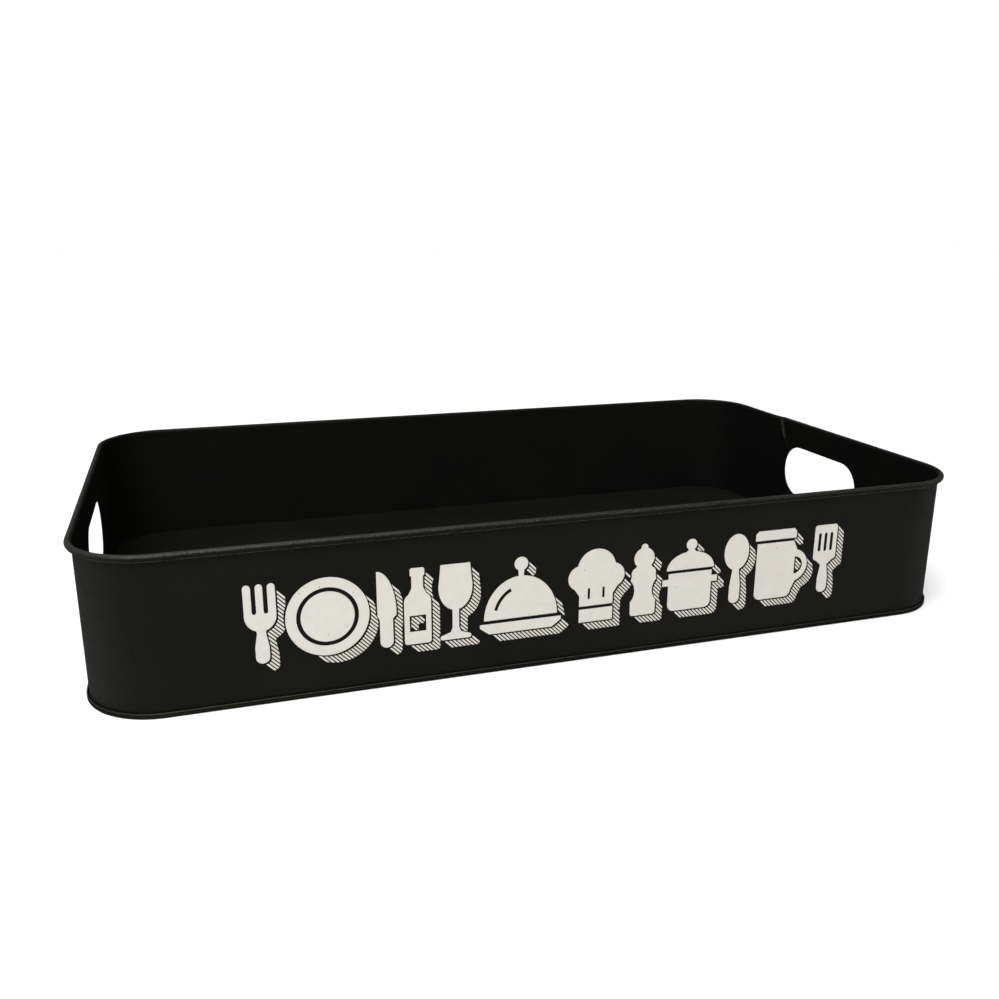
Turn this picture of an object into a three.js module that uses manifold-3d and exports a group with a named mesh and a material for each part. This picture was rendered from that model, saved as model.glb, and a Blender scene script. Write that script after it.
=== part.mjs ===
// Oblong sheet-metal serving tray: an upright wall band with a wired rim and a hand slot in each
// short end, and a raised floor pan seamed round the band's foot.
// Millimetres, +Z up. The origin is at the centre of the base, on the plane that the tray stands on.
// +X runs along the tray, and the front long wall faces -Y.

import * as THREE from 'three';
import { mergeVertices } from 'three/addons/utils/BufferGeometryUtils.js';
import Module from 'manifold-3d';

const wasm = await Module();
wasm.setup();

// Overall sizes, measured over the rim bead.
const LENGTH = 402.8;
const WIDTH = 229.8;
const HEIGHT = 66.5;

// Sheet, wire and fits.
const SHEET = 0.4;
const WIRE_DIAMETER = 1.5;
const FIT_GAP = 0.25;
const BEAD_RADIUS = WIRE_DIAMETER / 2 + FIT_GAP + SHEET;
const CURL_TURN = THREE.MathUtils.degToRad(300);

// The wall's outer face. The bead curls outward and is flush with the wall's inner face.
const WALL_HALF_X = LENGTH / 2 - 2 * BEAD_RADIUS + SHEET;
const WALL_HALF_Y = WIDTH / 2 - 2 * BEAD_RADIUS + SHEET;
const WALL_CORNER_RADIUS = 30;
const BEAD_OUTWARD = BEAD_RADIUS - SHEET;
const BEAD_Z = HEIGHT - BEAD_RADIUS;

// Bottom seam: the pan's edge turns under the wall's foot, up outside it and over inward in a hem.
const SEAM_HEIGHT = 2.1;
const SEAM_WEB_TOP = SHEET;
const FOOT_BOTTOM = SEAM_WEB_TOP + FIT_GAP;
const FOOT_TOP = FOOT_BOTTOM + SHEET;
const FLOOR_TOP = 5.4;

// Hand slots, centred in the short ends.
const SLOT_LENGTH = 67;
const SLOT_HEIGHT = 29.5;
const SLOT_CORNER_RADIUS = 13.7;
const SLOT_Z = 36.5;
const SLOT_CUT_DEPTH = 12;

// Lap joint of the wall band, in the +X end. The inner ply comes from the front, and its edge drops
// from the rim, leans over to the slot's rear upper corner, then runs straight down below the slot.
const LAP_TOP_Y = 41;
const LAP_FOOT_Y = 31;
const LAP_FRONT_Y = 16;
const LAP_BEND = { y: 37.5, z: 53.5 };
const LAP_BEND_END_Z = 48.5;
const LAP_EMBED = 0.1;

// Facet counts.
const CORNER_DIVISIONS = 5;
const CURL_STEPS = 20;
const HEM_STEPS = 6;
const BEND_STEPS = 3;
const WIRE_STEPS = 12;
const SLOT_CURVE_STEPS = 8;

const QUARTER_TURN = Math.PI / 2;

// Rounded rectangle about the origin, counter-clockwise.
function roundedRectangle(halfX, halfY, radius) {
  const shape = new THREE.Shape();
  shape.absarc(halfX - radius, halfY - radius, radius, 0, QUARTER_TURN);
  shape.absarc(radius - halfX, halfY - radius, radius, QUARTER_TURN, 2 * QUARTER_TURN);
  shape.absarc(radius - halfX, radius - halfY, radius, 2 * QUARTER_TURN, 3 * QUARTER_TURN);
  shape.absarc(halfX - radius, radius - halfY, radius, 3 * QUARTER_TURN, 4 * QUARTER_TURN);
  return shape;
}

// Points of an arc in a section, from one angle to the other.
function arcPoints(x, y, radius, from, to, steps) {
  const arc = new THREE.EllipseCurve(x, y, radius, radius, from, to, to < from);
  return arc.getPoints(steps);
}

// The tray's plan outline at a distance outward from the wall's outer face.
function outlinePoints(outward) {
  const outline = roundedRectangle(
    WALL_HALF_X + outward,
    WALL_HALF_Y + outward,
    WALL_CORNER_RADIUS + outward,
  );
  return outline.getPoints(CORNER_DIVISIONS);
}

// Sweeps a counter-clockwise section round the tray. A section point's x is its distance outward
// from the wall's outer face, and its y is its height. A plate section ends at the plate's two
// faces, which are filled to the middle. Any other section closes on itself.
function sweepRound(section, isPlate = false) {
  const rings = section.map((point) => outlinePoints(point.x));
  const count = rings[0].length;
  const positions = [];
  rings.forEach((ring, row) => {
    ring.forEach((point) => positions.push(point.x, point.y, section[row].y));
  });

  const index = [];
  const bandCount = isPlate ? section.length - 1 : section.length;
  for (let row = 0; row < bandCount; row += 1) {
    const nextRow = (row + 1) % section.length;
    for (let step = 0; step < count; step += 1) {
      const nextStep = (step + 1) % count;
      const a = row * count + step;
      const b = row * count + nextStep;
      const c = nextRow * count + step;
      const d = nextRow * count + nextStep;
      index.push(a, b, d, a, d, c);
    }
  }

  if (isPlate) {
    const lastRow = section.length - 1;
    const lowCentre = positions.length / 3;
    const highCentre = lowCentre + 1;
    positions.push(0, 0, section[0].y, 0, 0, section[lastRow].y);
    for (let step = 0; step < count; step += 1) {
      const nextStep = (step + 1) % count;
      index.push(lowCentre, nextStep, step);
      index.push(highCentre, lastRow * count + step, lastRow * count + nextStep);
    }
  }

  const geometry = new THREE.BufferGeometry();
  geometry.setAttribute('position', new THREE.Float32BufferAttribute(positions, 3));
  geometry.setIndex(index);
  return geometry;
}

// Turns a shape drawn across and up, and extruded, so that it is drawn in Y and Z and runs along +X.
function extrudeAlongX(shape, depth, startX) {
  const geometry = new THREE.ExtrudeGeometry(shape, {
    depth,
    bevelEnabled: false,
    curveSegments: SLOT_CURVE_STEPS,
  });
  const drawnInYZ = new THREE.Matrix4().makeBasis(
    new THREE.Vector3(0, 1, 0),
    new THREE.Vector3(0, 0, 1),
    new THREE.Vector3(1, 0, 0),
  );
  geometry.applyMatrix4(drawnInYZ);
  return geometry.translate(startX, 0, 0);
}

function toSolid(geometry) {
  const bare = geometry.clone();
  bare.deleteAttribute('normal');
  bare.deleteAttribute('uv');
  const merged = mergeVertices(bare);
  const mesh = new wasm.Mesh({
    numProp: 3,
    vertProperties: new Float32Array(merged.attributes.position.array),
    triVerts: new Uint32Array(merged.index.array),
  });
  return new wasm.Manifold(mesh);
}

function toGeometry(solid) {
  const mesh = solid.getMesh();
  const geometry = new THREE.BufferGeometry();
  geometry.setAttribute('position', new THREE.BufferAttribute(mesh.vertProperties, 3));
  geometry.setIndex(new THREE.BufferAttribute(mesh.triVerts, 1));
  return geometry;
}

// Sheet turned out in a small foot at the bottom and curled outward at the top. The curl's tail
// stops short of the wall.
function wallSection() {
  const start = Math.PI;
  const tail = start - CURL_TURN;
  const curlOutside = arcPoints(BEAD_OUTWARD, BEAD_Z, BEAD_RADIUS, tail, start, CURL_STEPS);
  const curlInside = arcPoints(BEAD_OUTWARD, BEAD_Z, BEAD_RADIUS - SHEET, start, tail, CURL_STEPS);
  return [
    new THREE.Vector2(-SHEET, FOOT_BOTTOM),
    new THREE.Vector2(SHEET, FOOT_BOTTOM),
    new THREE.Vector2(SHEET, FOOT_TOP),
    new THREE.Vector2(0, FOOT_TOP),
    ...curlInside,
    ...curlOutside,
  ];
}

function lapPly() {
  const low = FLOOR_TOP + FIT_GAP;
  const shape = new THREE.Shape();
  shape.moveTo(LAP_FRONT_Y, low);
  shape.lineTo(LAP_FRONT_Y, BEAD_Z);
  shape.lineTo(LAP_TOP_Y, BEAD_Z);
  shape.quadraticCurveTo(LAP_BEND.y, LAP_BEND.z, LAP_FOOT_Y, LAP_BEND_END_Z);
  shape.lineTo(LAP_FOOT_Y, low);
  shape.closePath();
  return extrudeAlongX(shape, SHEET + LAP_EMBED, WALL_HALF_X - 2 * SHEET);
}

function handSlot(side) {
  const shape = roundedRectangle(SLOT_LENGTH / 2, SLOT_HEIGHT / 2, SLOT_CORNER_RADIUS);
  const slot = extrudeAlongX(shape, SLOT_CUT_DEPTH, side * WALL_HALF_X - SLOT_CUT_DEPTH / 2);
  return slot.translate(0, 0, SLOT_Z);
}

function makeWallBand() {
  let band = toSolid(sweepRound(wallSection()));
  band = band.add(toSolid(lapPly()));
  for (const side of [-1, 1]) {
    band = band.subtract(toSolid(handSlot(side)));
  }
  return toGeometry(band);
}

// Hoop that stiffens the rim, inside the curl.
function makeRimWire() {
  const circle = arcPoints(BEAD_OUTWARD, BEAD_Z, WIRE_DIAMETER / 2, 0, 4 * QUARTER_TURN, WIRE_STEPS);
  return sweepRound(circle.slice(0, WIRE_STEPS));
}

// Floor plate with its edge turned down inside the wall, out under the foot, up outside it and
// folded inward in a hem that catches over the foot.
function floorPanSection() {
  const floorBottom = FLOOR_TOP - SHEET;
  const insideLeg = -SHEET - FIT_GAP;
  const outsideLeg = SHEET + FIT_GAP;
  const hemBottom = FOOT_TOP + FIT_GAP;
  const hemCentre = SEAM_HEIGHT - SHEET;
  const turnUnder = arcPoints(insideLeg, SHEET, SHEET, 2 * QUARTER_TURN, 3 * QUARTER_TURN, BEND_STEPS);
  const turnUp = arcPoints(outsideLeg, SHEET, SHEET, -QUARTER_TURN, 0, BEND_STEPS);
  const hem = arcPoints(outsideLeg, hemCentre, SHEET, 0, 2 * QUARTER_TURN, HEM_STEPS);
  const floorEdge = arcPoints(insideLeg - SHEET, floorBottom, SHEET, 0, QUARTER_TURN, BEND_STEPS);
  return [
    new THREE.Vector2(insideLeg - SHEET, floorBottom),
    ...turnUnder,
    ...turnUp,
    ...hem,
    new THREE.Vector2(FIT_GAP, hemBottom),
    new THREE.Vector2(outsideLeg, hemBottom),
    new THREE.Vector2(outsideLeg, SEAM_WEB_TOP),
    new THREE.Vector2(insideLeg, SEAM_WEB_TOP),
    ...floorEdge,
  ];
}

function makeFloorPan() {
  return sweepRound(floorPanSection(), true);
}

function makeMesh(name, geometry, material) {
  const mesh = new THREE.Mesh(geometry, material);
  mesh.name = name;
  return mesh;
}

const blackPaint = new THREE.MeshStandardMaterial({ color: 0x1b1b1a, roughness: 0.55, metalness: 0 });
const blackFloorPaint = new THREE.MeshStandardMaterial({ color: 0x181716, roughness: 0.6, metalness: 0 });
const wireSteel = new THREE.MeshStandardMaterial({ color: 0x8c8c8a, roughness: 0.4, metalness: 1 });

const tray = new THREE.Group();
tray.add(makeMesh('wall_band', makeWallBand(), blackPaint));
tray.add(makeMesh('rim_wire', makeRimWire(), wireSteel));
tray.add(makeMesh('floor_pan', makeFloorPan(), blackFloorPaint));

export default tray;
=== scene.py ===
"""A black sheet-metal serving tray with a wired rim, hand slots and a white frieze of kitchen shapes.

Metres, +Z up, the tray standing on z = 0 with its front wall facing -Y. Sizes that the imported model
holds are read from it. The rest are named below, in millimetres where they end in _MM.
"""

import math

import bmesh
import bpy
from mathutils import Matrix, Vector, geometry


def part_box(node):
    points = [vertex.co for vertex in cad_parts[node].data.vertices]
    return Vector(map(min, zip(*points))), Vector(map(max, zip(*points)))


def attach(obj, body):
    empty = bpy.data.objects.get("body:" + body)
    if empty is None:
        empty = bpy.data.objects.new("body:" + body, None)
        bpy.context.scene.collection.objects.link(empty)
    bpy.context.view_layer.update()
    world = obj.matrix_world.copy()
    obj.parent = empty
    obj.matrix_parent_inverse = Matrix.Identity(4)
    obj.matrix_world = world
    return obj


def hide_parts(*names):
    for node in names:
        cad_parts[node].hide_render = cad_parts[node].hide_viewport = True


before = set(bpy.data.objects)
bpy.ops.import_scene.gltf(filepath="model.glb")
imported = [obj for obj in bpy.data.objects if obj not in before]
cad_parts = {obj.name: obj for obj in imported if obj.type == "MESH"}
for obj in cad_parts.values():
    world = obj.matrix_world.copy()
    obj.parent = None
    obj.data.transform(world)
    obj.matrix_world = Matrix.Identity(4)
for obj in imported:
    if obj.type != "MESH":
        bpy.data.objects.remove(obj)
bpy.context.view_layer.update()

MM = 0.001
QUARTER = math.pi / 2
HALF_ROOT = math.sqrt(0.5)
SHARP_DEGREES = 35

# ---------------------------------------------------------------- sizes

wall_low, wall_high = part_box("wall_band")
wire_low, wire_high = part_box("rim_wire")
pan_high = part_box("floor_pan")[1]

SHEET = 0.4 * MM
FIT_GAP = 0.25 * MM
WALL_CORNER_RADIUS = 30 * MM

BEAD_Z = (wire_low.z + wire_high.z) / 2
BEAD_RADIUS = wall_high.z - BEAD_Z
BEAD_OUTWARD = BEAD_RADIUS - SHEET
WALL_HALF_X = wall_high.x - 2 * BEAD_RADIUS + SHEET
WALL_HALF_Y = wall_high.y - 2 * BEAD_RADIUS + SHEET
FOOT_BOTTOM = wall_low.z
FOOT_TOP = FOOT_BOTTOM + SHEET
FLOOR_TOP = pan_high.z
SEAM_OUTER = pan_high.x - WALL_HALF_X
SEAM_HEIGHT = 2.1 * MM

SLOT_LENGTH = 67 * MM
SLOT_HEIGHT = 29.5 * MM
SLOT_CORNER_RADIUS = 13.7 * MM
SLOT_Z = 36.5 * MM
SLOT_CUT_DEPTH = 12 * MM
SLOT_CORNER_STEPS = 16

LAP_TOP_Y = 41 * MM
LAP_FOOT_Y = 31 * MM
LAP_FRONT_Y = 16 * MM

# ---------------------------------------------------------------- plan outline and sweeps

CORNER_STEPS = 28
STRAIGHT_STEP = 6 * MM
RIM_STEP_WIDTH = 0.8 * MM
HIGHLIGHT_NAME = "painted_highlight"


def outline_stations():
    """Points on the wall's outer face, each with its outward direction, counter-clockwise from above.
    In the last straight, the +X end, two more points stand either side of the step in the rim."""
    centre_x = WALL_HALF_X - WALL_CORNER_RADIUS
    centre_y = WALL_HALF_Y - WALL_CORNER_RADIUS
    corners = [(centre_x, centre_y), (-centre_x, centre_y), (-centre_x, -centre_y), (centre_x, -centre_y)]
    last_corner = len(corners) - 1
    stations = []
    for number, corner in enumerate(corners):
        centre = Vector(corner)
        for step in range(CORNER_STEPS + 1):
            angle = (number + step / CORNER_STEPS) * QUARTER
            outward = Vector((math.cos(angle), math.sin(angle)))
            stations.append((centre + WALL_CORNER_RADIUS * outward, outward))
        next_centre = Vector(corners[(number + 1) % len(corners)])
        start = stations[-1][0]
        straight = next_centre - centre
        count = round(straight.length / STRAIGHT_STEP)
        shares = [step / count for step in range(1, count)]
        if number == last_corner:
            shares += [(y - start.y) / straight.length for y in (LAP_TOP_Y, LAP_TOP_Y + RIM_STEP_WIDTH)]
        for share in sorted(shares):
            stations.append((start + straight * share, stations[-1][1]))
    return stations


STATIONS = outline_stations()


def oval(x, z, half_x, half_z, start_degrees, end_degrees, steps):
    """Points of an elliptical arc, across and up."""
    points = []
    for step in range(steps + 1):
        angle = math.radians(start_degrees + (end_degrees - start_degrees) * step / steps)
        points.append((x + half_x * math.cos(angle), z + half_z * math.sin(angle)))
    return points


def arc(x, z, radius, start_degrees, end_degrees, steps):
    return oval(x, z, radius, radius, start_degrees, end_degrees, steps)


def smooth(share):
    """Eases a share from 0 to 1."""
    share = min(1, max(0, share))
    return share * share * (3 - 2 * share)


def mark_highlight(points, amount):
    """Marks section points that carry a painted highlight, lighter and glossier paint, from 0 to 1."""
    return [(outward, height, amount) for outward, height in points]


def new_object(name, mesh_data):
    piece = bpy.data.objects.new(name, mesh_data)
    bpy.context.scene.collection.objects.link(piece)
    return piece


def finish_mesh(name, builder):
    """Turns a bmesh into an object, smooth but for its sharp edges."""
    bmesh.ops.recalc_face_normals(builder, faces=builder.faces)
    mark_sharp(builder)
    mesh_data = bpy.data.meshes.new(name)
    builder.to_mesh(mesh_data)
    builder.free()
    return new_object(name, mesh_data)


def mark_sharp(builder):
    limit = math.radians(SHARP_DEGREES)
    for face in builder.faces:
        face.smooth = True
    for edge in builder.edges:
        edge.smooth = len(edge.link_faces) == 2 and edge.calc_face_angle() < limit


def join_rings(builder, lower, upper):
    """Adds the band of faces between two closed rings of vertices."""
    for step in range(len(lower)):
        after = (step + 1) % len(lower)
        builder.faces.new((lower[step], lower[after], upper[after], upper[step]))


def sweep(name, section, is_plate=False):
    """Sweeps a section of (outward, height) points round the tray. A third number on a point is how strong
    the painted highlight is there. A plate's section ends at its two faces."""
    builder = bmesh.new()
    highlight = builder.verts.layers.float.new(HIGHLIGHT_NAME)
    rings = []
    for outward, height, *amount in section:
        ring = [builder.verts.new((*(point + outward * normal), height)) for point, normal in STATIONS]
        for vertex in ring:
            vertex[highlight] = sum(amount)
        rings.append(ring)
    pairs = list(zip(rings, rings[1:]))
    if is_plate:
        builder.faces.new(rings[0])
        builder.faces.new(rings[-1])
    else:
        pairs.append((rings[-1], rings[0]))
    for lower, upper in pairs:
        join_rings(builder, lower, upper)
    return finish_mesh(name, builder)


# ---------------------------------------------------------------- hand slots


def slot_outline():
    """Rounded rectangle of a hand slot, as (along, height) from its centre."""
    along = SLOT_LENGTH / 2 - SLOT_CORNER_RADIUS
    up = SLOT_HEIGHT / 2 - SLOT_CORNER_RADIUS
    points = arc(along, up, SLOT_CORNER_RADIUS, 0, 90, SLOT_CORNER_STEPS)
    points += arc(-along, up, SLOT_CORNER_RADIUS, 90, 180, SLOT_CORNER_STEPS)
    points += arc(-along, -up, SLOT_CORNER_RADIUS, 180, 270, SLOT_CORNER_STEPS)
    points += arc(along, -up, SLOT_CORNER_RADIUS, 270, 360, SLOT_CORNER_STEPS)
    return points


def slot_cutter(side):
    """A block with a hand slot's outline, through the end wall on one side."""
    builder = bmesh.new()
    ends = []
    wall_x = side * WALL_HALF_X
    for x in (wall_x - SLOT_CUT_DEPTH / 2, wall_x + SLOT_CUT_DEPTH / 2):
        ends.append([builder.verts.new((x, y, SLOT_Z + z)) for y, z in slot_outline()])
    builder.faces.new(ends[0])
    builder.faces.new(ends[1])
    join_rings(builder, *ends)
    return finish_mesh("slot_cutter", builder)


def cut_slot(piece, side):
    """Cuts one hand slot out of a piece."""
    cutter = slot_cutter(side)
    cut = piece.modifiers.new("slot", "BOOLEAN")
    cut.operation = "DIFFERENCE"
    cut.solver = "EXACT"
    cut.object = cutter
    bpy.context.view_layer.update()
    evaluated = piece.evaluated_get(bpy.context.evaluated_depsgraph_get())
    cut_mesh = bpy.data.meshes.new_from_object(evaluated)
    piece.modifiers.clear()
    piece.data = cut_mesh
    bpy.data.objects.remove(cutter)
    builder = bmesh.new()
    builder.from_mesh(cut_mesh)
    mark_sharp(builder)
    builder.to_mesh(cut_mesh)
    builder.free()


# ---------------------------------------------------------------- wall band

LIP_RADIUS = 0.28 * MM
LIP_OUTWARD = 0.8 * LIP_RADIUS
LIP_DROP = 0.34 * MM
RIM_STEP = 0.25 * MM
RIM_SAG = 0.25 * MM
RIM_SAG_LENGTH = 12 * MM
RIM_RISE_START_Y = 74 * MM
RIM_RISE_LENGTH = 34 * MM
# How strong the painted highlight, lighter and glossier paint, is on the curl's lip and on the tops of the
# bead and the hem.
LIP_HIGHLIGHT = 1
EDGE_HIGHLIGHT = 0.12


def wall_section():
    """Sheet with a foot at the bottom. At the top it curls outward, and the curl's edge is a fine lip on
    the wall."""
    lip_z = BEAD_Z - BEAD_RADIUS - LIP_DROP
    section = [
        (-SHEET, FOOT_BOTTOM),
        (SHEET, FOOT_BOTTOM),
        (SHEET, FOOT_TOP),
        (0, FOOT_TOP),
        (0, FOOT_TOP + 1 * MM),
        (0, SEAM_HEIGHT + 4 * MM),
        (0, lip_z - 4 * MM),
        (0, lip_z - 1.2 * MM),
        (0, lip_z - 0.6 * MM),
        (0.02 * MM, lip_z - LIP_RADIUS),
    ]
    # The lip and the bead's top carry a painted highlight: lighter, glossier paint.
    section += mark_highlight(arc(LIP_OUTWARD, lip_z, LIP_RADIUS, -80, 80, 8), LIP_HIGHLIGHT)
    section += arc(BEAD_OUTWARD, BEAD_Z, BEAD_RADIUS, -118, 5, 18)
    section += mark_highlight(arc(BEAD_OUTWARD, BEAD_Z, BEAD_RADIUS, 12, 110, 14), EDGE_HIGHLIGHT)
    section += arc(BEAD_OUTWARD, BEAD_Z, BEAD_RADIUS, 117, 180, 10)
    section += [
        (-SHEET, BEAD_Z - 2 * MM),
        (-SHEET, BEAD_Z - 6 * MM),
        (-SHEET, FLOOR_TOP + 4 * MM),
        (-SHEET, FLOOR_TOP),
    ]
    return section


def drop_rim(wall):
    """Behind the lap's edge the bead has one ply fewer, so it sits lower there and rises again at the
    corner."""
    for vertex in wall.data.vertices:
        place = vertex.co
        if place.x > 0 and place.z > BEAD_Z - 2 * BEAD_RADIUS:
            behind = place.y - LAP_TOP_Y
            drop = RIM_STEP * smooth(behind / RIM_STEP_WIDTH) + RIM_SAG * smooth(behind / RIM_SAG_LENGTH)
            place.z -= drop * (1 - smooth((place.y - RIM_RISE_START_Y) / RIM_RISE_LENGTH))


def make_wall():
    wall = sweep("tray_wall", wall_section())
    drop_rim(wall)
    for side in (-1, 1):
        cut_slot(wall, side)
    return wall


# ---------------------------------------------------------------- lap joint in the +X end

LAP_BEND_Z = 48.5 * MM
LAP_CONTROL_Y = 37.5 * MM
LAP_CONTROL_Z = 53.5 * MM
LAP_FLARE = 0.35 * MM
LAP_FLARE_WIDTH = 3.2 * MM
# Painted highlight along the lap's edge: where it starts up the edge, how fast it grows, and its least and
# most strength.
LAP_HIGHLIGHT_LOW = 0.25
LAP_HIGHLIGHT_SPAN = 0.4
LAP_HIGHLIGHT_LEAST = 0.05
LAP_HIGHLIGHT_MOST = 1.8
LAP_EMBED = 0.15 * MM
LAP_COLUMNS = 30
LAP_CURVE_STEPS = 14
LAP_STRAIGHT_ROWS = (FLOOR_TOP + FIT_GAP, 20 * MM, 35 * MM)


def lap_edge_points():
    """The inner ply's rear edge as (y, z): straight up from the floor, then leaning back to the rim."""
    points = [(LAP_FOOT_Y, z) for z in LAP_STRAIGHT_ROWS]
    for step in range(LAP_CURVE_STEPS + 1):
        t = step / LAP_CURVE_STEPS
        y = (1 - t) ** 2 * LAP_FOOT_Y + 2 * t * (1 - t) * LAP_CONTROL_Y + t * t * LAP_TOP_Y
        z = (1 - t) ** 2 * LAP_BEND_Z + 2 * t * (1 - t) * LAP_CONTROL_Z + t * t * BEAD_Z
        points.append((y, z))
    return points


def lap_rise(distance, length):
    """Height of the ply above the wall: one sheet, a little flared at its edge, faired out to the front."""
    flare = LAP_FLARE * (1 - smooth(distance / LAP_FLARE_WIDTH))
    return (SHEET + flare) * smooth(2 * (1 - distance / length))


def lap_highlight(distance, z):
    """How strong the painted highlight is at a distance from the ply's edge: mostly on the edge's leaning
    stretch.
    """
    height = (z - LAP_BEND_Z) / (BEAD_Z - LAP_BEND_Z)
    highlighted = smooth((height - LAP_HIGHLIGHT_LOW) / LAP_HIGHLIGHT_SPAN)
    amount = LAP_HIGHLIGHT_LEAST + (LAP_HIGHLIGHT_MOST - LAP_HIGHLIGHT_LEAST) * highlighted
    return amount * (1 - smooth(distance / LAP_FLARE_WIDTH))


def make_lap():
    """The end of the band's inner ply, on the inside of the +X end wall."""
    inner_x = WALL_HALF_X - SHEET
    builder = bmesh.new()
    highlight = builder.verts.layers.float.new(HIGHLIGHT_NAME)
    rows = []
    for edge_y, z in lap_edge_points():
        length = edge_y - LAP_FRONT_Y
        row = [builder.verts.new((inner_x + LAP_EMBED, edge_y, z))]
        for column in range(LAP_COLUMNS + 1):
            distance = length * (column / LAP_COLUMNS) ** 2
            vertex = builder.verts.new((inner_x - lap_rise(distance, length), edge_y - distance, z))
            # Painted highlight along the ply's edge.
            vertex[highlight] = lap_highlight(distance, z)
            row.append(vertex)
        row.append(builder.verts.new((inner_x + LAP_EMBED, LAP_FRONT_Y, z)))
        rows.append(row)
    builder.faces.new(rows[0])
    builder.faces.new(rows[-1])
    for lower, upper in zip(rows, rows[1:]):
        join_rings(builder, lower, upper)
    lap = finish_mesh("lap_ply", builder)
    cut_slot(lap, 1)
    return lap


# ---------------------------------------------------------------- floor pan and bottom seam


def pan_section():
    """Floor, turned down inside the wall, out under its foot and up outside it, hemmed over at the top."""
    floor_bottom = FLOOR_TOP - SHEET
    inside_leg = -SHEET - FIT_GAP
    outside_leg = SEAM_OUTER - SHEET
    hem_z = SEAM_HEIGHT - SHEET
    edge_radius = 1.2 * MM
    edge_outward = inside_leg - edge_radius
    edge_z = FLOOR_TOP - edge_radius
    groove_z = 1.1 * MM
    groove_depth = 0.3 * MM
    floor_end = inside_leg - SHEET - 20 * MM
    floor_edge = inside_leg - SHEET - 2 * MM
    section = [(floor_end, floor_bottom), (floor_edge, floor_bottom)]
    section += arc(edge_outward, edge_z, edge_radius - SHEET, 90, 0, 6)
    section += arc(inside_leg, SHEET, SHEET, 180, 270, 5)
    section += arc(outside_leg, SHEET, SHEET, -90, 0, 6)
    section += [
        (SEAM_OUTER, groove_z - 0.4 * MM),
        (SEAM_OUTER - 0.06 * MM, groove_z - 0.2 * MM),
        (SEAM_OUTER - groove_depth, groove_z),
        (SEAM_OUTER - groove_depth, groove_z + 0.1 * MM),
        (SEAM_OUTER - 0.1 * MM, groove_z + 0.28 * MM),
    ]
    # The hem's crest carries a painted highlight: lighter, glossier paint.
    section += mark_highlight(arc(outside_leg, hem_z, SHEET, 10, 80, 5), EDGE_HIGHLIGHT)
    section += arc(outside_leg, hem_z, SHEET, 95, 180, 5)
    section += [
        (outside_leg - SHEET, FOOT_TOP + FIT_GAP),
        (outside_leg, FOOT_TOP + FIT_GAP),
        (outside_leg, SHEET),
        (inside_leg, SHEET),
    ]
    section += arc(edge_outward, edge_z, edge_radius, 0, 90, 10)
    section += [(floor_edge, FLOOR_TOP), (floor_end, FLOOR_TOP)]
    return section


def make_pan():
    return sweep("tray_floor", pan_section(), is_plate=True)


# ---------------------------------------------------------------- printed frieze
# Outlines are in millimetres from the foot of each pictogram's middle line. A pictogram is a list of
# shapes, and a shape is a list of loops: its outside, then its holes. Right-hand outlines run from
# foot to top and are mirrored.

PRINT_LEFT_MM = -138
PRINT_RIGHT_MM = 128.5
PRINT_FOOT_MM = 17
PRINT_HEIGHT_MM = 33
INK_THICKNESS = 0.05 * MM
HATCH_PITCH_MM = 1.24
HATCH_WIDTH_MM = 0.72
HATCH_GAP_MM = 0.95
HATCH_LENGTH_MM = 5.1
HATCH_SHORTEST_MM = 1
HATCH_SKEW_MM = 2
GRIP_HALF_MM = 2.7
ON_MIDDLE_MM = 1e-6


def mirrored(right_side):
    """Closes a right-hand outline with its mirror image."""
    left_side = [(-x, z) for x, z in reversed(right_side) if x > ON_MIDDLE_MM]
    return right_side + left_side


def circle(z, radius, steps):
    return arc(0, z, radius, 0, 360, steps)[:-1]


def slit(x, low, high, half_width):
    """Upright slot with round ends."""
    return arc(x, high, half_width, 0, 180, 6) + arc(x, low, half_width, 180, 360, 6)


def handle(neck_z):
    """Right-hand outline of a handle with a round foot, up to its neck."""
    return arc(0, GRIP_HALF_MM, GRIP_HALF_MM, -90, 0, 8) + [(GRIP_HALF_MM, neck_z * 0.55), (1.7, neck_z)]


def fork():
    right = handle(12.8)
    right += oval(0, 20, 6.1, 6.5, -72, 0, 8)
    right += arc(4.6, PRINT_HEIGHT_MM - 1.5, 1.5, 0, 180, 8)
    right += arc(2.25, 21.6, 0.85, 0, -180, 6)
    right += arc(0, PRINT_HEIGHT_MM - 1.4, 1.4, 0, 90, 5)
    return [[mirrored(right)]]


def spoon():
    right = handle(15.6) + oval(0, 24.5, 6.2, 8.5, -74, 90, 20)
    return [[mirrored(right)]]


def knife():
    spine_x = -3.6
    blade = [(4.2, 14)] + oval(spine_x, 15, 7.8, PRINT_HEIGHT_MM - 15, 0, 90, 14) + [(spine_x, 14)]
    grip = arc(0, GRIP_HALF_MM, GRIP_HALF_MM, 180, 360, 12)
    return [[grip + [(GRIP_HALF_MM, 12.4)] + blade + [(-GRIP_HALF_MM, 12.4)]]]


def spatula():
    right = handle(13.6) + arc(4.4, 17.6, 1.6, -90, 0, 4) + arc(4.6, 31.6, 1.4, 0, 90, 4)
    slots = [slit(x, 21, 28.4, 0.75) for x in (-3.1, 0, 3.1)]
    return [[mirrored(right), *slots]]


def bottle():
    right = arc(4.4, 1.2, 1.2, -90, 0, 4)
    right += arc(1.9, 18.5, 3.7, 0, 60, 8)
    right += [(2.4, 24.5), (2.4, 29.4), (3, 29.9), (3, 32.4), (2.4, PRINT_HEIGHT_MM)]
    label = [(-3.4, 5.5), (3.4, 5.5), (3.4, 12.5), (-3.4, 12.5)]
    return [[mirrored(right), label]]


def glass():
    right = arc(5.6, 1, 1, -90, 60, 6)
    right += [(2.2, 3.2), (1.4, 5.2), (1.4, 12.6)]
    right += oval(0, 23, 7.2, 10, -78, 15, 14)
    right += [(6.2, PRINT_HEIGHT_MM)]
    return [[mirrored(right)]]


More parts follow.
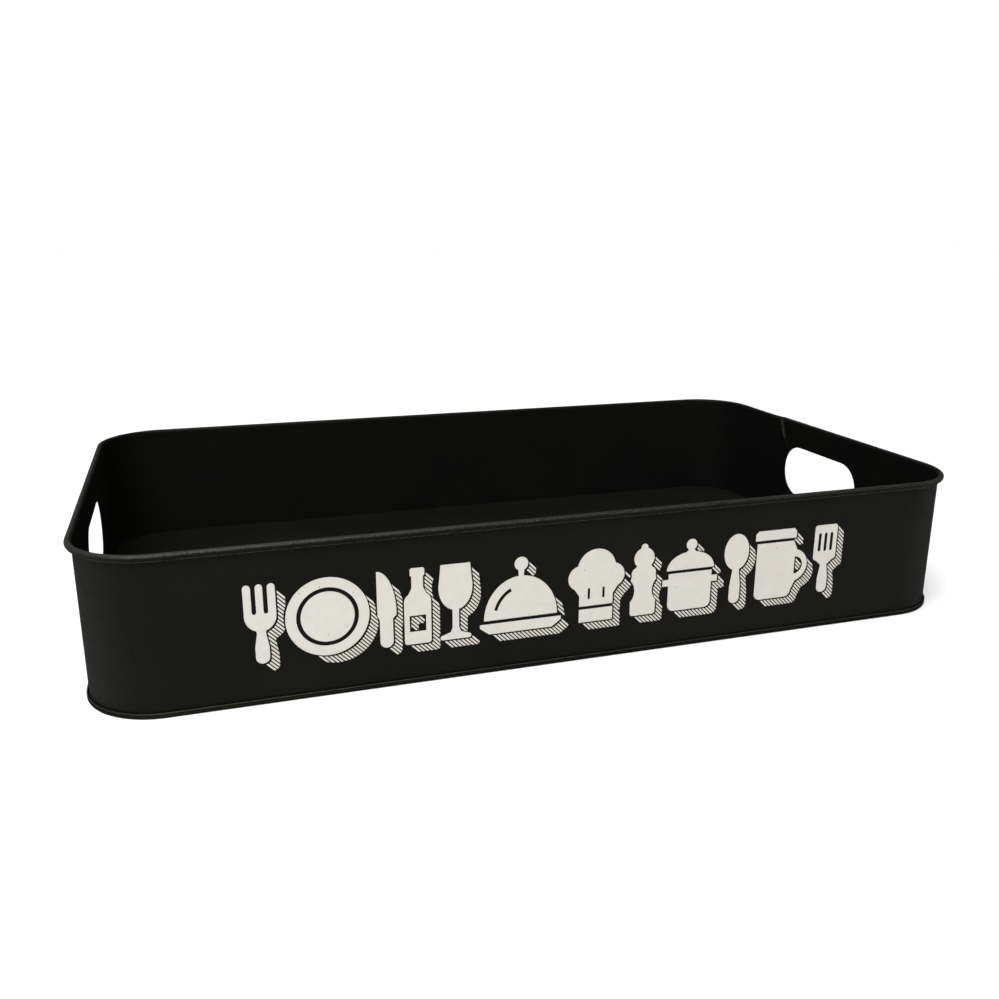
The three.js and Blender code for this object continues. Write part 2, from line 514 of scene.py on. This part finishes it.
def pepper_mill():
    right = arc(4.8, 1.2, 1.2, -90, 0, 4)
    right += arc(11.6, 11.5, 7.4, 222, 138, 10)
    right += arc(3.2, 19.6, 2.6, -20, 70, 6)
    right += arc(0, 26.4, 4.8, -46, 66, 12)
    right += arc(0, 31.4, 1.6, -10, 90, 6)
    return [[mirrored(right)]]


def plate():
    middle = PRINT_HEIGHT_MM / 2
    rim = [circle(middle, middle, 72), circle(middle, middle - 4.2, 60)]
    well = [circle(middle, middle - 5.9, 52)]
    return [rim, well]


def chef_hat():
    band = mirrored([(7.8, 0), (7.8, 6)])
    side = [(7.8, 7.4), (7.8, 12.2)] + arc(7.4, 20.4, 5.6, -62, 77, 14)
    crown = mirrored(side + arc(0, 24.2, 8.8, 11, 90, 12))
    pleats = [slit(x, 11, 15, 0.55) for x in (-3.4, 3.4)]
    return [[band], [crown, *pleats]]


def pot():
    grip = [(10.6, 12), (13.5, 12), (13.5, 15), (10.6, 15)]
    body = mirrored(arc(7.6, 3, 3, -90, 0, 6) + grip + [(10.6, 17.6)])
    lid = mirrored(oval(0, 19, 11.6, 8.2, 0, 78, 18) + arc(0, 30.4, 2.6, -60, 90, 10))
    return [[body], [lid]]


def cloche():
    tray = mirrored([(14, 0), (18, 3), (18, 4.6)])
    dome = mirrored(oval(0, 6.1, 16.2, 18.6, 0, 86, 26) + arc(0, 30, 3, -64, 90, 10))
    shine = oval(0, 6.1, 12.4, 14.6, 112, 162, 10) + oval(0, 6.1, 11, 13, 162, 112, 10)
    return [[tray], [dome, shine]]


def mug():
    body = arc(-6.5, 3, 3, 180, 270, 6) + arc(6.5, 3, 3, 270, 360, 6)
    body += arc(9.5, 15, 7.8, -74, 74, 16) + [(9.5, 27), (-9.5, 27)]
    hole = arc(10.6, 15, 4.2, -90, 90, 12)
    rim_top = [(10.6, 31.6), (9.2, PRINT_HEIGHT_MM), (-9.2, PRINT_HEIGHT_MM), (-10.6, 31.6)]
    rim = [(-10.6, 28.4), (10.6, 28.4)] + rim_top
    return [[body, hole], [rim]]


def frieze():
    """The row of pictograms, evenly spaced over the print's length, as shapes in place on the wall."""
    pictograms = [fork, plate, knife, bottle, glass, cloche, chef_hat, pepper_mill, pot, spoon, mug, spatula]
    row = []
    for pictogram in pictograms:
        shapes = pictogram()
        across = [x for shape in shapes for x, _ in shape[0]]
        row.append((shapes, min(across), max(across)))
    free = PRINT_RIGHT_MM - PRINT_LEFT_MM - sum(right - left for _, left, right in row)
    gap = free / (len(row) - 1)
    placed = []
    start = PRINT_LEFT_MM
    for shapes, left, right in row:
        for shape in shapes:
            placed.append([[(start - left + x, PRINT_FOOT_MM + z) for x, z in loop] for loop in shape])
        start += right - left + gap
    return placed


def crossings(loops, line):
    """Where a slanting hatch line crosses a set of loops, as sorted distances along the line."""
    found = []
    for loop in loops:
        for (x0, z0), (x1, z1) in zip(loop, loop[1:] + loop[:1]):
            before = (x0 + z0) * HALF_ROOT - line
            after = (x1 + z1) * HALF_ROOT - line
            if (before < 0) != (after < 0):
                share = before / (before - after)
                x = x0 + share * (x1 - x0)
                z = z0 + share * (z1 - z0)
                found.append((x - z) * HALF_ROOT)
    return sorted(found)


def hatch_spans(loops, line):
    """Stretches of a hatch line that lie in the drop shade, clear of the white shapes."""
    edges = crossings(loops, line)
    spans = []
    for number in range(1, len(edges), 2):
        start = edges[number] + HATCH_GAP_MM
        end = edges[number] + HATCH_LENGTH_MM
        if number + 1 < len(edges):
            end = min(end, edges[number + 1] - HATCH_GAP_MM)
        if end - start > HATCH_SHORTEST_MM:
            spans.append((start, end))
    return spans


def hatch_point(line, along):
    """The (x, z) of a distance along a hatch line."""
    return ((line + along) * HALF_ROOT, (line - along) * HALF_ROOT)


def hatch_quads(loops):
    """Each hatch stroke as four (x, z) corners. Its ends follow the outlines beside it. Two edges make a
    stroke where their ends are level to within the skew."""
    across = [(x + z) * HALF_ROOT for loop in loops for x, z in loop]
    lowest = math.floor(min(across) / HATCH_PITCH_MM)
    highest = math.ceil(max(across) / HATCH_PITCH_MM)
    quads = []
    for number in range(lowest, highest + 1):
        middle = number * HATCH_PITCH_MM
        low = middle - HATCH_WIDTH_MM / 2
        high = middle + HATCH_WIDTH_MM / 2
        low_spans = hatch_spans(loops, low)
        high_spans = hatch_spans(loops, high)
        for low_start, low_end in low_spans:
            for high_start, high_end in high_spans:
                skew = max(abs(low_start - high_start), abs(low_end - high_end))
                if skew < HATCH_SKEW_MM:
                    ends = [(low, low_start), (low, low_end), (high, high_end), (high, high_start)]
                    quads.append([hatch_point(line, along) for line, along in ends])
    return quads


def add_ink(builder, loops):
    """Adds one flat raised shape of ink, with its holes, to the front wall."""
    face_y = -WALL_HALF_Y
    flat = [[Vector((x * MM, z * MM, 0)) for x, z in loop] for loop in loops]
    front = []
    back = []
    for loop in flat:
        for point in loop:
            front.append(builder.verts.new((point.x, face_y - INK_THICKNESS, point.y)))
            back.append(builder.verts.new((point.x, face_y + INK_THICKNESS / 2, point.y)))
    for triangle in geometry.tessellate_polygon(flat):
        builder.faces.new([front[number] for number in triangle])
        builder.faces.new([back[number] for number in reversed(triangle)])
    first = 0
    for loop in flat:
        end = first + len(loop)
        join_rings(builder, front[first:end], back[first:end])
        first = end


def make_print():
    builder = bmesh.new()
    shapes = frieze()
    for shape in shapes:
        add_ink(builder, shape)
    everything = [loop for shape in shapes for loop in shape]
    for quad in hatch_quads(everything):
        add_ink(builder, [quad])
    return finish_mesh("front_print", builder)


# ---------------------------------------------------------------- materials

# Most of a noise node's values lie between these.
NOISE_LOW = 0.3
NOISE_HIGH = 0.7

# The Mix node has sockets of the same name for each kind of value, so its colour ones go by number.
MIX_FIRST_COLOUR = 6
MIX_SECOND_COLOUR = 7
MIX_RESULT_COLOUR = 2

# Share of a speck's radius where it is at full strength.
SPECK_CORE = 0.6


class Nodes:
    """A node material with its Principled shader and short ways to add and link nodes."""

    def __init__(self, name):
        self.material = bpy.data.materials.new(name)
        self.material.use_nodes = True
        self.tree = self.material.node_tree
        self.shader = self.tree.nodes["Principled BSDF"]
        self.place = self.add("ShaderNodeTexCoord").outputs["Object"]

    def add(self, kind, **settings):
        """Adds a node. Each setting is one of its properties or one of its inputs."""
        node = self.tree.nodes.new(kind)
        for key, value in settings.items():
            if hasattr(node, key):
                setattr(node, key, value)
            else:
                node.inputs[key].default_value = value
        return node

    def link(self, source, target):
        self.tree.links.new(source, target)

    def noise(self, size, detail=2, roughness=0.5):
        """Noise whose features are about this many metres across."""
        node = self.add("ShaderNodeTexNoise", Scale=1 / size, Detail=detail, Roughness=roughness)
        self.link(self.place, node.inputs["Vector"])
        return node.outputs["Fac"]

    def blend(self, noise, low_colour, high_colour):
        """Goes from one colour to another over a noise's values."""
        node = self.add("ShaderNodeValToRGB")
        low, high = node.color_ramp.elements
        low.position = NOISE_LOW
        low.color = low_colour
        high.position = NOISE_HIGH
        high.color = high_colour
        self.link(noise, node.inputs["Fac"])
        return node.outputs["Color"]

    def map_range(self, value, low, high, new_low, new_high):
        node = self.add("ShaderNodeMapRange")
        node.inputs["From Min"].default_value = low
        node.inputs["From Max"].default_value = high
        node.inputs["To Min"].default_value = new_low
        node.inputs["To Max"].default_value = new_high
        self.link(value, node.inputs["Value"])
        return node.outputs["Result"]

    def vary(self, noise, new_low, new_high):
        """Goes from one number to another over a noise's values."""
        return self.map_range(noise, NOISE_LOW, NOISE_HIGH, new_low, new_high)

    def mix(self, share, first, second):
        """Mixes a share of a plain second colour into the first."""
        node = self.add("ShaderNodeMix", data_type="RGBA")
        self.link(share, node.inputs["Factor"])
        self.link(first, node.inputs[MIX_FIRST_COLOUR])
        node.inputs[MIX_SECOND_COLOUR].default_value = second
        return node.outputs[MIX_RESULT_COLOUR]

    def specks(self, spacing, radius, share):
        """1 in small scattered dots about spacing apart, of which only a share shows, and 0 elsewhere."""
        cells = self.add("ShaderNodeTexVoronoi", Scale=1 / spacing)
        self.link(self.place, cells.inputs["Vector"])
        edge = radius / spacing
        dot = self.map_range(cells.outputs["Distance"], edge, SPECK_CORE * edge, 0, 1)
        separate = self.add("ShaderNodeSeparateColor")
        self.link(cells.outputs["Color"], separate.inputs["Color"])
        chosen = self.add("ShaderNodeMath", operation="LESS_THAN")
        chosen.inputs[1].default_value = share
        self.link(separate.outputs["Red"], chosen.inputs[0])
        return self.product(dot, chosen.outputs["Value"])

    def combine(self, operation, first, second):
        node = self.add("ShaderNodeMath", operation=operation)
        self.link(first, node.inputs[0])
        self.link(second, node.inputs[1])
        return node.outputs["Value"]

    def product(self, first, second):
        return self.combine("MULTIPLY", first, second)

    def total(self, first, second):
        return self.combine("ADD", first, second)

    def bump(self, height, distance):
        node = self.add("ShaderNodeBump", Strength=1, Distance=distance)
        self.link(height, node.inputs["Height"])
        self.link(node.outputs["Normal"], self.shader.inputs["Normal"])


def grey(value, warmth=0.0):
    return (value * (1 + warmth / 4), value, value * (1 - warmth), 1)


def olive(value, warmth):
    """A dark grey-green, browner above zero warmth and bluer below it."""
    return (value * (0.92 + warmth / 2), value, value * (0.92 - warmth), 1)


# The darkest of the mottling is this much bluer than the lightest.
COOL_SHIFT = 0.2
DUST_GREY = 0.12

# Colour and strength of the reflection, on the paint and on its glossier copy that paints a highlight on
# edges.
PAINT_SHEEN = (1, 0.97, 0.72, 1)
HIGHLIGHT_SHEEN = (1, 0.99, 0.84, 1)
PAINT_GLOSS = 0.051
HIGHLIGHT_GLOSS = 0.135

# A face takes the glossier copy, a painted highlight, where the highlight amount at all its corners is above
# this. The painted highlight also speckles the colour towards a lighter grey.
HIGHLIGHT_FROM = 0.1
HIGHLIGHT_GREY = 0.035
SPECKLE_NOISE = (0.4, 0.6)
SPECKLE_MOST = 1.8

# The paint is rougher by this much where it is seen edge on, over this range of the facing value.
GRAZING_ROUGHNESS = 0.45
GRAZING_RANGE = (0.2, 0.9)


def paint_material(name, darkest, lightest, warmth, smoothest, roughest, highlighted=False):
    """Black satin paint: broad mottling, orange-peel grain and a few specks of dust. Where a mesh marks a
    painted highlight, the colour is speckled with lighter grey, and the highlighted copy reflects more too."""
    nodes = Nodes(name)
    sockets = nodes.shader.inputs
    broad = nodes.noise(45 * MM, detail=3)
    colour = nodes.blend(broad, olive(darkest, warmth - COOL_SHIFT), olive(lightest, warmth))
    dust = nodes.specks(spacing=16 * MM, radius=0.22 * MM, share=0.25)
    colour = nodes.mix(dust, colour, grey(DUST_GREY))
    highlight = nodes.add("ShaderNodeAttribute", attribute_name=HIGHLIGHT_NAME).outputs["Fac"]
    # Painted highlight: where the mesh marks one, the colour is speckled towards a lighter grey.
    speckle = nodes.map_range(nodes.noise(0.8 * MM, detail=1), *SPECKLE_NOISE, 0, SPECKLE_MOST)
    colour = nodes.mix(nodes.product(highlight, speckle), colour, grey(HIGHLIGHT_GREY, warmth))
    nodes.link(colour, sockets["Base Color"])
    roughness = nodes.vary(nodes.noise(6 * MM, detail=4), smoothest, roughest)
    facing = nodes.add("ShaderNodeLayerWeight").outputs["Facing"]
    roughness = nodes.total(roughness, nodes.map_range(facing, *GRAZING_RANGE, 0, GRAZING_ROUGHNESS))
    nodes.link(roughness, sockets["Roughness"])
    sockets["Specular Tint"].default_value = HIGHLIGHT_SHEEN if highlighted else PAINT_SHEEN
    sockets["Specular IOR Level"].default_value = HIGHLIGHT_GLOSS if highlighted else PAINT_GLOSS
    nodes.bump(nodes.noise(0.9 * MM, roughness=0.6), 0.26 * MM)
    return nodes.material


PINHOLE_GREY = 0.05
INK_GLOSS = 0.3


def ink_material():
    """Matte white screen ink with slight mottling, and pinholes that show the black."""
    nodes = Nodes("white_ink")
    sockets = nodes.shader.inputs
    colour = nodes.blend(nodes.noise(3 * MM, detail=4), grey(0.38, 0.09), grey(0.4, 0.08))
    pinholes = nodes.specks(spacing=2.6 * MM, radius=0.28 * MM, share=0.16)
    colour = nodes.mix(pinholes, colour, grey(PINHOLE_GREY))
    nodes.link(colour, sockets["Base Color"])
    nodes.link(nodes.vary(nodes.noise(1.5 * MM), 0.5, 0.7), sockets["Roughness"])
    sockets["Specular IOR Level"].default_value = INK_GLOSS
    nodes.bump(nodes.noise(0.3 * MM), 0.01 * MM)
    return nodes.material


def wire_material():
    """Bright drawn steel, slightly uneven in colour and gloss."""
    nodes = Nodes("wire_steel")
    sockets = nodes.shader.inputs
    nodes.link(nodes.blend(nodes.noise(2 * MM, detail=3), grey(0.42), grey(0.55)), sockets["Base Color"])
    nodes.link(nodes.vary(nodes.noise(0.4 * MM), 0.25, 0.45), sockets["Roughness"])
    sockets["Metallic"].default_value = 1
    return nodes.material


def floor_material():
    """Matte grey that the lights bring up to white."""
    nodes = Nodes("studio_floor")
    sockets = nodes.shader.inputs
    nodes.link(nodes.blend(nodes.noise(400 * MM), grey(0.545), grey(0.56)), sockets["Base Color"])
    sockets["Roughness"].default_value = 0.9
    sockets["Specular IOR Level"].default_value = 0.1
    return nodes.material


# ---------------------------------------------------------------- studio

FLOOR_HALF = 6.0
FLOOR_DROP = 0.2 * MM
BACKDROP_STRENGTH = 1.08
ROOM_STRENGTH = 0.2
SOFTBOX_SIZE = 0.5
WHITE_LIGHT = (1, 1, 1)
COOL_LIGHT = (0.95, 0.98, 1)
WARM_LIGHT = (1, 0.5, 0.2)

SENSOR_WIDTH_MM = 36
LENS_MM = 34.66
CAMERA_PLACE = (-0.1492, -0.4670, 0.1834)
CAMERA_TURN_DEGREES = -17.80
CAMERA_DOWN_DEGREES = 16.17
CAMERA_ROLL_DEGREES = 0.19


def make_floor():
    """The studio floor, just under the tray."""
    builder = bmesh.new()
    corners = ((-1, -1), (1, -1), (1, 1), (-1, 1))
    vertices = [builder.verts.new((x * FLOOR_HALF, y * FLOOR_HALF, -FLOOR_DROP)) for x, y in corners]
    builder.faces.new(vertices)
    floor = finish_mesh("studio_floor", builder)
    floor.data.materials.append(floor_material())


def make_camera():
    """Stands in front of the left of the tray, turned to its right and looking down."""
    camera_data = bpy.data.cameras.new("camera")
    camera_data.sensor_width = SENSOR_WIDTH_MM
    camera_data.lens = LENS_MM
    camera = new_object("camera", camera_data)
    turn = Matrix.Rotation(math.radians(CAMERA_TURN_DEGREES), 4, "Z")
    tilt = Matrix.Rotation(math.radians(90 - CAMERA_DOWN_DEGREES), 4, "X")
    roll = Matrix.Rotation(math.radians(CAMERA_ROLL_DEGREES), 4, "Z")
    camera.matrix_world = Matrix.Translation(CAMERA_PLACE) @ turn @ tilt @ roll
    bpy.context.scene.camera = camera


def make_sun(name, towards, strength, spread_degrees, colour=WHITE_LIGHT):
    """A broad soft light from one direction, given as the way towards it."""
    light_data = bpy.data.lights.new(name, "SUN")
    light_data.color = colour
    light_data.energy = strength
    light_data.angle = math.radians(spread_degrees)
    light = new_object(name, light_data)
    light.matrix_world = Vector(towards).to_track_quat("Z", "Y").to_matrix().to_4x4()


def make_softbox(name, place, target, power):
    """A square soft light close to the tray, slightly cool."""
    light_data = bpy.data.lights.new(name, "AREA")
    light_data.color = COOL_LIGHT
    light_data.energy = power
    light_data.size = SOFTBOX_SIZE
    light = new_object(name, light_data)
    turn = (Vector(place) - Vector(target)).to_track_quat("Z", "Y").to_matrix().to_4x4()
    light.matrix_world = Matrix.Translation(place) @ turn


def make_world():
    """A white backdrop to the camera, and a dim room to everything that the tray reflects."""
    world = bpy.data.worlds.new("studio")
    world.use_nodes = True
    tree = world.node_tree
    background = tree.nodes["Background"]
    background.inputs["Color"].default_value = (1, 1, 1, 1)
    seen = tree.nodes.new("ShaderNodeLightPath").outputs["Is Camera Ray"]
    strength = tree.nodes.new("ShaderNodeMapRange")
    strength.inputs["To Min"].default_value = ROOM_STRENGTH
    strength.inputs["To Max"].default_value = BACKDROP_STRENGTH
    tree.links.new(seen, strength.inputs["Value"])
    tree.links.new(strength.outputs["Result"], background.inputs["Strength"])
    bpy.context.scene.world = world


def make_lights():
    make_sun("top_light", towards=(-0.2, -0.35, 0.93), strength=4.2, spread_degrees=50)
    make_sun("back_light", towards=(-0.15, 0.55, 0.8), strength=0.9, spread_degrees=50)
    make_sun("front_light", towards=(-0.1, -0.64, 0.77), strength=0.9, spread_degrees=30)
    make_softbox("left_softbox", place=(-0.4, -0.52, 0.6), target=(-0.22, -0.2, 0), power=4.8)
    make_sun("right_light", towards=(0.66, -0.73, 0.18), strength=0.4, spread_degrees=40, colour=WARM_LIGHT)


# ---------------------------------------------------------------- putting it together


def paint_highlights(mesh_data):
    """Gives the second material, the glossier copy that paints a highlight, to the faces marked with a
    painted highlight.
    """
    highlight = mesh_data.attributes[HIGHLIGHT_NAME].data
    for face in mesh_data.polygons:
        if all(highlight[number].value > HIGHLIGHT_FROM for number in face.vertices):
            face.material_index = 1


def dress(piece, slot, materials, *replaced):
    """Gives a piece its materials, the second of them on the faces with a painted highlight, and enters it
    in the frame.
    """
    piece.data.materials.clear()
    for material in materials:
        piece.data.materials.append(material)
    if len(materials) > 1:
        paint_highlights(piece.data)
    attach(piece, "root")
    if replaced:
        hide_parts(*replaced)


black_paint = paint_material("black_paint", 0.0025, 0.0034, 0.12, 0.36, 0.44)
# A glossier copy of the black paint, with lighter grey speckles: a painted highlight on the bead, lip, hem
# crest and lap edge.
highlight_paint = paint_material("highlight_paint", 0.0025, 0.0034, 0.12, 0.36, 0.44, highlighted=True)
# A darker, slightly rougher copy of the wall's black paint: painted shade on the floor pan's floor and along
# its bottom seam.
floor_paint = paint_material("floor_paint", 0.0013, 0.0021, 0.18, 0.38, 0.48)

dress(make_wall(), "black_paint", [black_paint, highlight_paint], "wall_band")
dress(make_lap(), "black_paint", [black_paint, highlight_paint])
dress(make_pan(), "floor_paint", [floor_paint, highlight_paint], "floor_pan")
dress(make_print(), "white_print", [ink_material()])

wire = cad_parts["rim_wire"]
wire.data.materials.clear()
wire.data.materials.append(wire_material())

make_floor()
make_camera()
make_lights()
make_world()
bpy.context.scene.view_settings.view_transform = "Standard"
